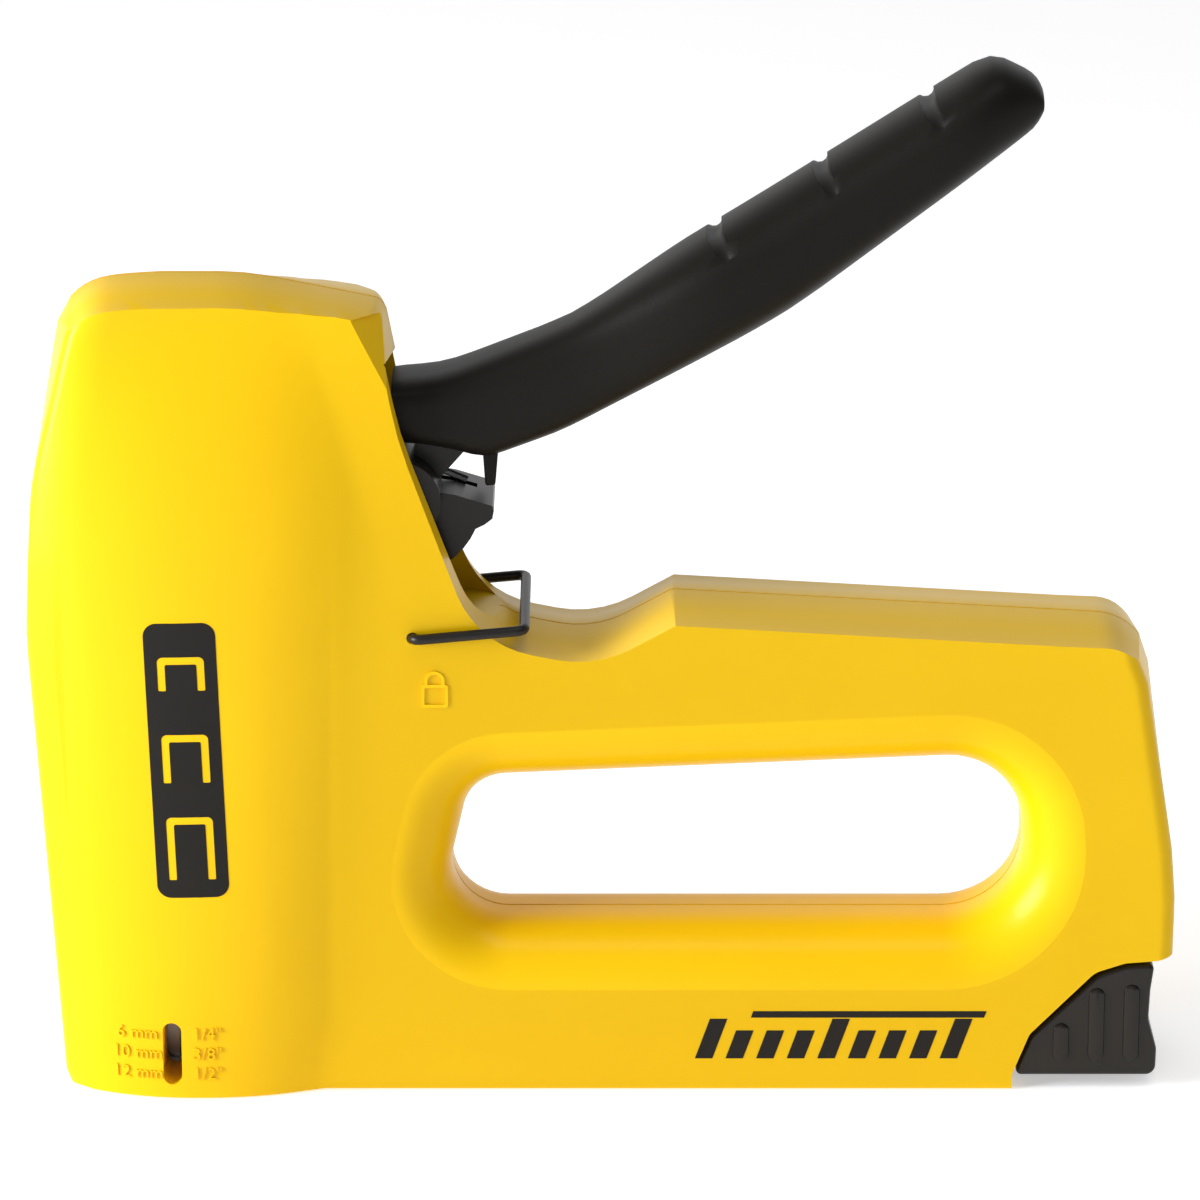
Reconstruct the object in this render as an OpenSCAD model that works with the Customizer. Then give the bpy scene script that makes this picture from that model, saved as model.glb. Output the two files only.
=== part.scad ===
// Squeeze-lever staple gun: two-half cast body, lever with inner fork, main spring and driver,
// wire lock bail and pull-out staple magazine. The nose is at -X, the hand at +X, and the tool
// stands on its flat base at Z = 0 with the joint plane of its two halves at Y = 0.

/* [Body] */
// Length of the body from nose to rear
body_length = 182; // [181:0.5:183]
// Height of the head
head_height = 132; // [131:0.5:133]
// Width of the handle and of the magazine beam
rail_width = 27; // [26.6:0.1:28]
// Width of the head at its fullest
head_width = 37.3; // [36:0.1:39]
// Thickness of the cast walls
wall = 2.4; // [2.2:0.1:2.6]
// Height of the handle behind its front edge
handle_height = 80; // [79:0.5:81]
// Height of the finger opening's floor
opening_floor = 26.5; // [26.2:0.1:27.5]

/* [Lever] */
// Distance of the lever's pivot ahead of the middle
pivot_x = -32; // [-32.2:0.1:-31.8]
// Height of the lever's pivot
pivot_z = 97; // [96.8:0.1:97.2]
// Angle that the lever turns when squeezed
lever_travel = 29; // [20:1:29]
// Distance from the pivot to the fork's tips
fork_reach = 38.5; // [38:0.1:39]
// Width of the lever's hand grip
grip_width = 23; // [20:0.5:26]
// Width of the lever where it enters the head
root_width = 17; // [15:0.5:17.4]

/* [Spring and driver] */
// Outer diameter of the main spring
spring_diameter = 13.2; // [11:0.2:13.4]
// Wire of the main spring
spring_wire = 2; // [1.6:0.1:2]
// Turns of the main spring
spring_turns = 4.5; // [3.5:0.5:4.5]
// Width of the driver blade
blade_width = 10.6; // [8:0.2:11]
// Thickness of the driver blade
blade_thickness = 1.2; // [1:0.1:1.3]

/* [Lock bail] */
// Diameter of the bail's wire
bail_wire = 1.7; // [1.4:0.1:1.8]
// Length of the bail's legs
bail_leg = 17.6; // [17:0.1:17.8]

/* [Magazine] */
// Outer width of the staple channel
channel_width = 14.6; // [14.2:0.1:14.8]
// Thickness of the channel's sheet
channel_sheet = 1; // [0.8:0.1:1.1]
// Width of the core that the staples straddle
core_width = 7.8; // [7:0.1:8]
// Diameter of the pusher's rod
rod_diameter = 3; // [2.6:0.1:3.1]

/* [Hidden] */

$fn = 64;
front_x = -body_length / 2;
rear_x = body_length / 2;
rail_half = rail_width / 2;
head_half = head_width / 2;
reach = 60;              // longer than anything that it cuts
gap = 0.3;               // clearance between moving parts
arc_step = 15;           // angle between the points of a rounded corner

slot_half = 9.5;
slot_floor = 77.2;
slot_end_x = -15.5;
slot_top = 119.4;

pin_radius = 3;
hub_radius = 6.5;
fork_inner = 7.2;
fork_plate = 2;
fork_outer = fork_inner + fork_plate;
fork_tip_radius = 3;
rest_angle = 180 + lever_travel / 2;
tip = [pivot_x + fork_reach * cos(rest_angle), pivot_z + fork_reach * sin(rest_angle)];

blade_x = front_x + 7.8;                 // front face of the blade
carrier_front = blade_x + blade_thickness + 0.1;
carrier_back = carrier_front + 21;
carrier_floor = 80;
ear_z = tip[1] + fork_tip_radius + gap;  // underside of the carrier's ears
carrier_top = ear_z + 3.2;
ledge_top = 68;                          // the bumper stands on this ledge
spring_x = carrier_front + 11.2;         // axis of the main spring
cap_z = 125.2;
cap_thickness = 2;

bail_x = -30;
bail_z = 76;
bail_half = rail_half + bail_wire / 2 + 0.2;
bail_rest = 5.3;                         // angle of the legs above level at rest
bail_hole_depth = 1.9;

channel_half = channel_width / 2;
channel_front = blade_x + blade_thickness + 0.2;
channel_back = 64;
channel_floor = 0.5;
channel_top = 17.5;
core_back = 57;
core_top = 14.6;
tunnel_half = channel_half + 0.3;
tunnel_top = 23.8;
rod_z = 20.2;
rod_radius = rod_diameter / 2;
rod_front = channel_front + 1.2;
rod_back = 77;
pusher_front = channel_front + 0.4;
pusher_back = pusher_front + 13;
knob_front = 65.8;

screw_places = [[-48, 122.5], [-42, 34], [2, 63.5], [77.5, 63], [79.5, 33.5]];
screw_radius = 1.4;
screw_head_radius = 2.9;
screw_seat = rail_half - 2.6;            // the heads rest at this distance from the joint plane
top_screw_seat = rail_half - 4.8;        // deeper in the head, whose sides lean inwards
screw_tip = 3.6 - rail_half;
screw_boss_radius = 3.8;
dowel_boss_radius = 3;
pivot_boss_radius = 5.5;
dowel_places = [[-45, 112], [45, 66]];
pin_places = [-58, 20, 46];
pin_z = 8;
small_pin_radius = 1.5;
stop_place = [-44, 78];
stop_radius = 2;
cross_pin_half = rail_half - 2.3;        // the pivot pin and the stop pin end here
rivet_radius = 1.5;
blade_rivet_radius = 1.2;
rod_pin_radius = 1;
rod_pin_half = 4.9;
rod_pin_x = rod_back - 4;
blade_rivet_heights = [83, 87];
knob_tongue_floor = 10;
knob_rib_floor = 4.2;
hook_half = 7;
tongue_half = 4;
spring_slot = 2.6;                       // half-width of the hub's slot for the return spring
// Half-widths of the head's hollow, each up to a height: it narrows as the head does
hollow_tiers = [[85, head_half], [103, 13], [head_height, fork_outer + 2 * gap]];
window_x = -68.8;
window_half = 1.5;

// Direction from one point to another, of length 1
function toward(a, b) = (b - a) / norm(b - a);

// The points that round the corner at b, between a and c, to radius r
function corner(a, b, c, r) =
    let (
        u = toward(b, a),
        v = toward(b, c),
        half = acos(u * v) / 2,
        centre = b + toward([0, 0], u + v) * r / sin(half),
        first = b + u * r / tan(half) - centre,
        last = b + v * r / tan(half) - centre,
        start = atan2(first[1], first[0]),
        turn = (atan2(last[1], last[0]) - start + 540) % 360 - 180,
        steps = ceil(abs(turn) / arc_step)
    )
    [for (k = [0:steps]) centre + r * [cos(start + turn * k / steps), sin(start + turn * k / steps)]];

// A closed outline from its corners [x, y, radius]
function rounded(corners) =
    let (n = len(corners), p = [for (c = corners) [c[0], c[1]]])
    [for (i = [0:n - 1])
        each (corners[i][2] == 0 ? [p[i]] : corner(p[(i + n - 1) % n], p[i], p[(i + 1) % n], corners[i][2]))];

// An outline in X and Z given a thickness along Y, centred on the joint plane
module side_plate(outline, half) {
    rotate([90, 0, 0]) linear_extrude(2 * half, center = true) polygon(outline);
}

// The same, between two distances from the joint plane
module side_slab(outline, near, far) {
    translate([0, far, 0]) rotate([90, 0, 0]) linear_extrude(far - near) polygon(outline);
}

// A rod along Y
module cross_rod(x, z, r, near, far) {
    translate([x, near, z]) rotate([-90, 0, 0]) cylinder(h = far - near, r = r);
}

// The same thing on both sides of the joint plane
module both_sides() {
    children();
    mirror([0, 1, 0]) children();
}

// A block between two corners
module block(low, high) {
    translate(low) cube(high - low);
}

// Points of a wire ring: its centre, the outward direction and the wire's radius
function ring(centre, outward, r, sides) =
    [for (k = [0:sides - 1])
        let (a = 360 * k / sides)
        centre + r * (cos(a) * outward + sin(a) * [0, 0, 1])];

// A wire coil round the Z axis from z = 0, which may end in two straight legs
module coil(mean_radius, wire, length, turns, per_turn, sides, start = 0, first_leg = 0, last_leg = 0) {
    bends = round(turns * per_turn);
    rise = (length - wire) / bends;
    legs = [for (leg = [first_leg, last_leg]) leg > 0 ? 1 : 0];
    steps = bends + legs[0] + legs[1];
    points = [for (j = [0:steps])
        let (
            i = min(max(j - legs[0], 0), bends),
            a = start + 360 * i / per_turn,
            outward = [cos(a), sin(a), 0],
            leg = j < legs[0] ? -first_leg : j > legs[0] + bends ? last_leg : 0,
            along = leg * [-sin(a), cos(a), 0]
        )
        each ring(mean_radius * outward + along + [0, 0, wire / 2 + rise * i], outward, wire / 2, sides)];
    walls = [for (i = [0:steps - 1]) for (k = [0:sides - 1])
        let (n = (k + 1) % sides)
        each [
            [i * sides + k, (i + 1) * sides + n, (i + 1) * sides + k],
            [i * sides + k, i * sides + n, (i + 1) * sides + n],
        ]];
    first_cap = [[for (k = [sides - 1:-1:0]) k]];
    last_cap = [[for (k = [0:sides - 1]) steps * sides + k]];
    polyhedron(points, concat(walls, first_cap, last_cap));
}

body_outline = rounded([
    [front_x + 4.6, 0, 1],
    [front_x - 0.86, 88, 120],
    [front_x + 6.5, head_height - 1.7, 10],
    [front_x + 19, head_height, 40],
    [-56, head_height, 40],
    [-34.2, head_height - 4.4, 3],
    [-30.6, 109, 60],
    [-18.5, 76.6, 14],
    [-1.5, handle_height - 6.8, 16],
    [10.8, handle_height, 2],
    [rear_x - 5.4, handle_height - 4.2, 9],
    [rear_x + 0.09, 36, 60],
    [rear_x - 0.4, 0, 1],
]);
head_plan = rounded([
    [front_x - 3, -9.8, 4],
    [-72, -head_half, 14],
    [-56, -head_half, 14],
    [-42, -rail_half, 4],
    [-30, -rail_half, 0],
    [-30, rail_half, 0],
    [-42, rail_half, 4],
    [-56, head_half, 14],
    [-72, head_half, 14],
    [front_x - 3, 9.8, 4],
]);
head_hollow_plan = rounded([
    [front_x + 1, -6, 2],
    [-73, wall - head_half, 10],
    [-57, wall - head_half, 10],
    [-43.5, wall - rail_half, 3],
    [-18, wall - rail_half, 0],
    [-18, rail_half - wall, 0],
    [-43.5, rail_half - wall, 3],
    [-57, head_half - wall, 10],
    [-73, head_half - wall, 10],
    [front_x + 1, 6, 2],
]);
opening_outline = rounded([
    [-26.5, opening_floor, 9],
    [-21, 50.4, 7],
    [66.2, 54.2, 12],
    [67.4, opening_floor, 12.6],
]);
head_hollow = rounded([
    [front_x + 6.8, 24.2, 1],
    [front_x + 2.7, 88, 60],
    [front_x + 7.5, 122, 8],
    [front_x + 12, cap_z + cap_thickness, 3],
    [-42, cap_z + cap_thickness, 4],
    [-36.4, 118, 4],
    [-28.6, 93, 30],
    [-25, 83, 4],
    [-29.6, 54, 6],
    [-31, 24.2, 2],
]);
handle_hollow = rounded([
    [-23, 55.9, 3],
    [-21.5, 70.6, 5],
    [-1.5, 69.6, 10],
    [12, 76, 4],
    [81.6, 72.2, 6],
    [87.4, 36, 8],
    [86.8, 26.4, 1],
    [72.7, 26.4, 1],
    [72.3, 59.4, 12],
]);
slot_side = [
    [-40, slot_top],
    [-20, slot_top],
    [0, 100],
    [0, 85],
    [slot_end_x, slot_floor],
    [-27, slot_floor],
    [-31, 90],
    [-40, slot_top - 14],
];
knob_pocket = rounded([
    [knob_front - 0.3, -1, 0],
    [knob_front - 0.3, 2.4, 4],
    [knob_front + 2.4, 9.3, 2],
    [knob_front + 12.6, 19.8, 4],
    [knob_front + 17.4, 21.4, 3],
    [rear_x - 2.6, 21.8, 0],
    [rear_x + 2, 23, 0],
    [rear_x + 2, -1, 0],
]);
knob_outline = rounded([
    [knob_front, 2, 0.8],
    [knob_front + 0.7, 3.8, 3],
    [knob_front + 2.8, 9, 2],
    [knob_front + 13, 19.2, 4],
    [knob_front + 17.6, 20.8, 3],
    [rear_x - 3, 21.1, 1],
    [rear_x - 3.6, 16.5, 4],
    [rear_x - 3.8, 11.5, 4],
    [rear_x - 2.4, 6.5, 3],
    [rear_x - 2.5, 2, 1.6],
]);

// Everything that a half of the body is cut from, before it is split
module whole_body() {
    difference() {
        union() {
            side_plate(body_outline, rail_half);
            intersection() {
                side_plate(body_outline, head_half);
                linear_extrude(head_height) polygon(head_plan);
            }
        }
        side_plate(opening_outline, reach);
        side_plate(knob_pocket, reach);
        intersection() {
            side_plate(head_hollow, head_half);
            linear_extrude(head_height) polygon(head_hollow_plan);
            for (tier = hollow_tiers) block([-2 * reach, -tier[1], 0], [2 * reach, tier[1], tier[0]]);
        }
        side_plate(handle_hollow, rail_half - wall);
        intersection() {
            side_plate(slot_side, slot_half);
            union() {
                block([-reach, -slot_half, 0], [slot_end_x - slot_half, slot_half, head_height]);
                translate([slot_end_x - slot_half, 0, 0]) cylinder(h = head_height, r = slot_half);
            }
        }
        block([front_x + 6.2, -tunnel_half, -1], [rear_x + 2, tunnel_half, tunnel_top]);
        block([front_x + 6.2, -tunnel_half, -1], [-60, tunnel_half, 30]);
        both_sides() cross_rod(bail_x, bail_z, bail_wire / 2 + 0.1, rail_half - wall - 0.4, rail_half + 1);
    }
}

// The bosses inside the +Y half that the screws and pins run in, and the ledge under the bumper
module bosses() {
    for (at = screw_places) cross_rod(at[0], at[1], screw_boss_radius, 0, rail_half - 1);
    for (at = dowel_places) cross_rod(at[0], at[1], dowel_boss_radius, 3, rail_half - 1);
    cross_rod(pivot_x, pivot_z, pivot_boss_radius, slot_half, rail_half - 1);
    translate([0, 0, ledge_top - 4]) linear_extrude(4) polygon([
        [carrier_front + 0.4, 0], [carrier_front + 0.4, 13.2], [-73.5, 17.2], [-60, 17.2], [-60, 0],
    ]);
}

// The blind holes in the +Y half that the pins sit in
module pin_holes() {
    cross_rod(pivot_x, pivot_z, pin_radius, -1, cross_pin_half + 0.1);
    cross_rod(stop_place[0], stop_place[1], stop_radius, -1, cross_pin_half + 0.1);
    for (at = dowel_places) cross_rod(at[0], at[1], small_pin_radius, -1, rail_half - 3.4);
    for (x = pin_places) cross_rod(x, pin_z, small_pin_radius, -1, rail_half - 1.6);
}

// One half of the body, on the +Y side
module housing_half() {
    difference() {
        union() {
            intersection() {
                whole_body();
                block([-2 * reach, 0, -1], [2 * reach, reach, head_height + 1]);
            }
            bosses();
        }
        pin_holes();
    }
}

module left_housing() {
    color("gold") difference() {
        mirror([0, 1, 0]) housing_half();
        for (at = screw_places) cross_rod(at[0], at[1], screw_radius, screw_tip - 0.2, 1);
        staple_window(-head_half - 1, 0);
    }
}

module right_housing() {
    color("gold") difference() {
        housing_half();
        for (at = screw_places) {
            cross_rod(at[0], at[1], screw_radius + 0.2, -1, reach);
            cross_rod(at[0], at[1], screw_head_radius + 0.1, seat(at), reach);
        }
    }
}

// Where a screw's head rests
function seat(at) = at[1] > 100 ? top_screw_seat : screw_seat;

// The upright window that shows how many staples are left
module staple_window(near, far) {
    cross_rod(window_x, 3.8, window_half, near, far);
    cross_rod(window_x, 11.4, window_half, near, far);
    block([window_x - window_half, near, 3.8], [window_x + window_half, far, 11.4]);
}

module lever_pivot_pin() {
    color("silver") cross_rod(pivot_x, pivot_z, pin_radius, -cross_pin_half, cross_pin_half);
}

module spring_stop_pin() {
    color("silver") cross_rod(stop_place[0], stop_place[1], stop_radius, -cross_pin_half, cross_pin_half);
}

module dowel_pins() {
    color("silver") for (at = dowel_places)
        cross_rod(at[0], at[1], small_pin_radius, 3.5 - rail_half, rail_half - 3.5);
}

module housing_screws() {
    color("dimgray") for (at = screw_places) difference() {
        union() {
            cross_rod(at[0], at[1], screw_radius, screw_tip, seat(at));
            cross_rod(at[0], at[1], screw_head_radius, seat(at), seat(at) + 2);
        }
        for (turn = [0, 90]) translate([at[0], seat(at) + 2, at[1]]) rotate([0, turn, 0])
            cube([3.4, 2.4, 0.8], center = true);
    }
}

module nose_plate() {
    color("silver") block([blade_x - 1.2, 0.1 - tunnel_half, 0.3], [blade_x - 0.15, tunnel_half - 0.1, 29.8]);
}

module spring_cap() {
    color("silver") {
        translate([spring_x, 0, cap_z]) cylinder(h = cap_thickness, r = spring_diameter / 2 + 1);
        translate([spring_x, 0, cap_z - 6]) cylinder(h = 6, r = spring_diameter / 2 - spring_wire - 0.4);
    }
}

module bumper() {
    color("dimgray") block([carrier_front + 0.5, -8.6, ledge_top], [carrier_back, 8.6, carrier_floor - 0.2]);
}

module magazine_channel() {
    color("silver") difference() {
        block([channel_front, -channel_half, channel_floor], [channel_back, channel_half, channel_top]);
        block([channel_front - 1, channel_sheet - channel_half, channel_floor + channel_sheet],
              [channel_back + 1, channel_half - channel_sheet, channel_top + 1]);
        block([60.2, -3, 0], [62.6, 3, 2]);
        staple_window(-channel_half - 1, 0);
        for (x = pin_places) cross_rod(x, pin_z, small_pin_radius, -reach, reach);
        rivet_shanks();
    }
}

module staple_core() {
    color("silver") difference() {
        block([channel_front, -core_width / 2, channel_floor + channel_sheet],
              [core_back, core_width / 2, core_top]);
        rivet_shanks();
    }
}

// The upright rivets that hold the core on the channel's floor
module rivet_shanks() {
    for (x = pin_places) translate([x + 8, 0, channel_floor]) cylinder(h = 8, r = small_pin_radius);
}

module core_rivets() {
    color("silver") rivet_shanks();
}

// Short pins on both sides that hold the channel in the housings
module channel_pins() {
    color("silver") both_sides() for (x = pin_places)
        cross_rod(x, pin_z, small_pin_radius, channel_half - channel_sheet, rail_half - 1.7);
}

// The block that the fork lifts and the main spring drives down
module spring_carrier() {
    color("gray") {
        block([carrier_front, gap - fork_inner, carrier_floor],
              [carrier_back, fork_inner - gap, carrier_top]);
        both_sides() block([tip[0] - 6, fork_inner - gap - 1, ear_z], [tip[0] + 2, fork_outer, carrier_top]);
    }
}

module driver_blade() {
    color("silver") difference() {
        block([blade_x, -blade_width / 2, 0.6],
              [blade_x + blade_thickness, blade_width / 2, carrier_top - 1]);
        for (z = blade_rivet_heights) rivet_hole(z);
    }
}

// A hole through the blade at height z
module rivet_hole(z) {
    translate([blade_x - 1, 0, z]) rotate([0, 90, 0]) cylinder(h = 4, r = blade_rivet_radius);
}

module blade_rivets() {
    color("silver") for (z = blade_rivet_heights) translate([blade_x, 0, z]) rotate([0, 90, 0])
        cylinder(h = carrier_front - blade_x, r = blade_rivet_radius);
}

module main_spring() {
    color("silver") translate([spring_x, 0, carrier_top + 0.05])
        coil((spring_diameter - spring_wire) / 2, spring_wire, cap_z - carrier_top - 0.1, spring_turns, 20, 8);
}

fork_outline = rounded([
    [pivot_x + 2, pivot_z + hub_radius - 1, 2],
    [pivot_x - 2, pivot_z + hub_radius, 4],
    [tip[0] + 5, tip[1] + fork_tip_radius, 8],
    [tip[0] - fork_tip_radius, tip[1] + fork_tip_radius, fork_tip_radius - 0.1],
    [tip[0] - fork_tip_radius, tip[1] - fork_tip_radius, fork_tip_radius - 0.1],
    [tip[0] + 3, tip[1] - fork_tip_radius - 0.1, 12],
    [pivot_x - 6, pivot_z - hub_radius + 1, 6],
    [pivot_x + 2, pivot_z - hub_radius + 1, 2],
]);
grip_outline = rounded([
    [pivot_x - 2, pivot_z + 18.4, 1.5],
    [pivot_x + 7, pivot_z + 19.2, 20],
    [pivot_x + 27, pivot_z + 27.2, 40],
    [pivot_x + 44, pivot_z + 39, 60],
    [pivot_x + 92, pivot_z + 69.5, 5],
    [pivot_x + 101.5, pivot_z + 65, 5],
    [pivot_x + 99, pivot_z + 58.6, 6],
    [pivot_x + 60, pivot_z + 28.6, 80],
    [pivot_x + 26, pivot_z + 10.2, 30],
    [pivot_x + 13.5, pivot_z + 5.6, 4],
    [pivot_x + 8, pivot_z + 7.2, 1],
    [pivot_x + 4, pivot_z + 8, 2],
    [pivot_x - 1, pivot_z + 8.4, 1],
]);
tongue_outline = rounded([
    [pivot_x + 2, pivot_z + 2, 0],
    [pivot_x + 3, pivot_z + 13, 2],
    [pivot_x + 26, pivot_z + 20, 20],
    [pivot_x + 52, pivot_z + 35, 2],
    [pivot_x + 55, pivot_z + 31, 2],
    [pivot_x + 30, pivot_z + 16, 20],
    [pivot_x + 12, pivot_z + 9, 2],
    [pivot_x + 5, pivot_z + 1, 0],
]);

// A point at a distance and angle from the pivot, seen from the side
function from_pivot(r, a) = [pivot_x + r * cos(a), pivot_z + r * sin(a)];

catch_radius = 14.1;
hook_outline = concat(
    [from_pivot(2, 60), from_pivot(8.5, 4), from_pivot(14.6, -5)],
    [for (a = [-8, -13]) from_pivot(14.9, a)],
    [from_pivot(14, -18)],
    [for (a = [-23:-8:-63]) from_pivot(catch_radius - 1.2, a)],
    [from_pivot(10.5, -76), from_pivot(6, -95)]
);
tab_outline = rounded([
    [pivot_x + 13.2, pivot_z + 12, 0],
    [pivot_x + 13.4, pivot_z + 1.6, 0.5],
    [pivot_x + 15, pivot_z + 1.7, 0.5],
    [pivot_x + 15.4, pivot_z + 12, 0],
]);

// Hub, fork, tongue inside the grip, and the hook that the bail catches
module lever_core() {
    color("dimgray") difference() {
        union() {
            cross_rod(pivot_x, pivot_z, hub_radius, -fork_outer, fork_outer);
            both_sides() side_slab(fork_outline, fork_inner, fork_outer);
            side_plate(tongue_outline, tongue_half);
            side_plate(hook_outline, hook_half);
        }
        cross_rod(pivot_x, pivot_z, pin_radius + 0.05, -reach, reach);
        cross_rod(pivot_x, pivot_z, hub_radius - 0.6, -spring_slot, spring_slot);
        block([pivot_x - 8, -spring_slot, pivot_z - 8], [pivot_x, spring_slot, pivot_z + 8]);
        block([pivot_x, 0.6, pivot_z - 1.6], [pivot_x + 12, spring_slot, pivot_z + 6]);
        for (at = rivet_places) cross_rod(at[0], at[1], rivet_radius, -reach, reach);
    }
}

rivet_places = [[pivot_x + 19, pivot_z + 14.5], [pivot_x + 44, pivot_z + 27.6]];
groove_places = [for (k = [0:2]) [pivot_x + 48.5 + 16.5 * k, pivot_z + 42.9 + 10.5 * k]];
groove_radius = 2;

module lever_grip() {
    color([0.13, 0.12, 0.11]) difference() {
        union() {
            intersection() {
                side_plate(grip_outline, grip_width / 2);
                union() {
                    block([-reach, -root_width / 2, 0], [pivot_x + 60, root_width / 2, 200]);
                    translate([pivot_x + 27, 0, 0]) linear_extrude(200) polygon(grip_plan);
                }
            }
            side_plate(tab_outline, 6);
        }
        side_plate(tongue_outline, tongue_half + 0.1);
        for (at = rivet_places) cross_rod(at[0], at[1], rivet_radius, -reach, reach);
        for (at = groove_places) cross_rod(at[0], at[1], groove_radius, -reach, reach);
    }
}

// The grip's plan, measured from where it starts to widen
grip_plan = rounded([
    [-2, -root_width / 2, 0],
    [14, -grip_width / 2, 30],
    [64, -grip_width / 2, 20],
    [76, -grip_width / 2 + 6, 6],
    [76, grip_width / 2 - 6, 6],
    [64, grip_width / 2, 20],
    [14, grip_width / 2, 30],
    [-2, root_width / 2, 0],
]);

module lever_rivets() {
    color("dimgray") for (at = rivet_places) cross_rod(at[0], at[1], rivet_radius, -hook_half, hook_half);
}

// Torsion spring round the pin, with one leg on the stop pin and one in the hook
module return_spring() {
    color("silver") translate([pivot_x, -2.1, pivot_z]) rotate([-90, 0, 0])
        coil(4.5, 1.1, 4.2, 2.25, 16, 6, -157.3, 19.2, 9.4);
}

module lock_bail() {
    leg_end = [bail_x + bail_leg * cos(bail_rest), bail_z + bail_leg * sin(bail_rest)];
    r = bail_wire / 2;
    color([0.15, 0.14, 0.13]) {
        both_sides() {
            cross_rod(bail_x, bail_z, r, rail_half - bail_hole_depth, bail_half + r);
            translate([bail_x, bail_half, bail_z]) rotate([0, 90 - bail_rest, 0])
                cylinder(h = bail_leg, r = r * 0.98);
        }
        cross_rod(leg_end[0], leg_end[1], r, -bail_half - r, bail_half + r);
    }
}

module magazine_knob() {
    color([0.13, 0.12, 0.11]) difference() {
        union() {
            side_plate(knob_outline, rail_half - 0.2);
            block([knob_front + 1, gap - tunnel_half, knob_tongue_floor],
                  [rear_x - 3.2, tunnel_half - gap, tunnel_top - 0.4]);
            both_sides() for (x = [knob_front + 7.4, knob_front + 13, knob_front + 18.4])
                block([x - 1.2, rail_half - 1, knob_rib_floor],
                      [x + 1.2, rail_half + 0.2, x - knob_front + 2.4]);
        }
        translate([knob_front - 1, 0, rod_z]) rotate([0, 90, 0])
            cylinder(h = rod_back - knob_front + 1.2, r = rod_radius);
        cross_rod(rod_pin_x, rod_z, rod_pin_radius, -rod_pin_half - 0.1, rod_pin_half + 0.1);
        block([knob_front - 1, -3.2, 1.5], [knob_front + 8, 3.2, 3.2]);
    }
}

module pusher_rod() {
    color("silver") difference() {
        translate([rod_front, 0, rod_z]) rotate([0, 90, 0])
            cylinder(h = rod_back - rod_front, r = rod_radius);
        cross_rod(rod_pin_x, rod_z, rod_pin_radius, -rod_pin_half, rod_pin_half);
    }
}

module rod_pin() {
    color("silver") cross_rod(rod_pin_x, rod_z, rod_pin_radius, -rod_pin_half, rod_pin_half);
}

module rod_clip() {
    color("silver") translate([rod_front + 0.4, 0, rod_z]) rotate([0, 90, 0]) difference() {
        cylinder(h = 0.8, r = 2.8);
        translate([0, 0, -1]) cylinder(h = 3, r = rod_radius);
    }
}

// Leaf on the knob whose bump snaps into the channel's floor
module detent_spring() {
    color("silver") side_plate([
        [knob_front + 7.8, 2.1], [knob_front + 7.8, 2.7], [knob_front - 3, 2.7], [knob_front - 4.2, 1.5],
        [knob_front - 5.4, 2.7], [knob_front - 6.4, 2.7], [knob_front - 6.4, 2.1], [knob_front - 5.6, 2.1],
        [knob_front - 4.2, 0.7], [knob_front - 2.8, 2.1],
    ], 2.6);
}

module pusher() {
    color("gray") difference() {
        union() {
            block([pusher_front, -5.6, 2.4], [pusher_back, 5.6, 17]);
            block([pusher_front + 2.4, -3.4, 16.5], [pusher_back, 3.4, 23.2]);
        }
        block([pusher_front - 1, -core_width / 2 - gap, 0],
              [pusher_back + 1, core_width / 2 + gap, core_top + gap]);
        translate([pusher_front - 1, 0, rod_z]) rotate([0, 90, 0]) cylinder(h = 20, r = rod_radius + 0.1);
    }
}

module pusher_spring() {
    color("silver") translate([pusher_back + 0.1, 0, rod_z]) rotate([0, 90, 0])
        coil(2.4, 0.6, knob_front + 0.8 - pusher_back, 32, 8, 5);
}

left_housing();
right_housing();
lever_pivot_pin();
spring_stop_pin();
dowel_pins();
housing_screws();
nose_plate();
spring_cap();
bumper();
magazine_channel();
staple_core();
core_rivets();
channel_pins();
spring_carrier();
driver_blade();
blade_rivets();
main_spring();
lever_core();
lever_grip();
lever_rivets();
return_spring();
lock_bail();
magazine_knob();
pusher_rod();
rod_pin();
rod_clip();
detent_spring();
pusher();
pusher_spring();
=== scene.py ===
# %% [markdown]
# # A squeeze-lever staple gun
#
# The tool is a die-cast body in two halves, painted yellow, with a black moulded lever, a bent wire
# that locks the lever down, and a black knob at the rear that pulls the staple magazine out. The CAD
# model already holds every part at its true size and place. This lesson gives the parts that show
# their real surfaces, and every part its finish.

# %% Load the frame
import math

import bpy
from mathutils import Matrix, Vector
from mathutils.bvhtree import BVHTree
from mathutils.interpolate import poly_3d_calc


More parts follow.
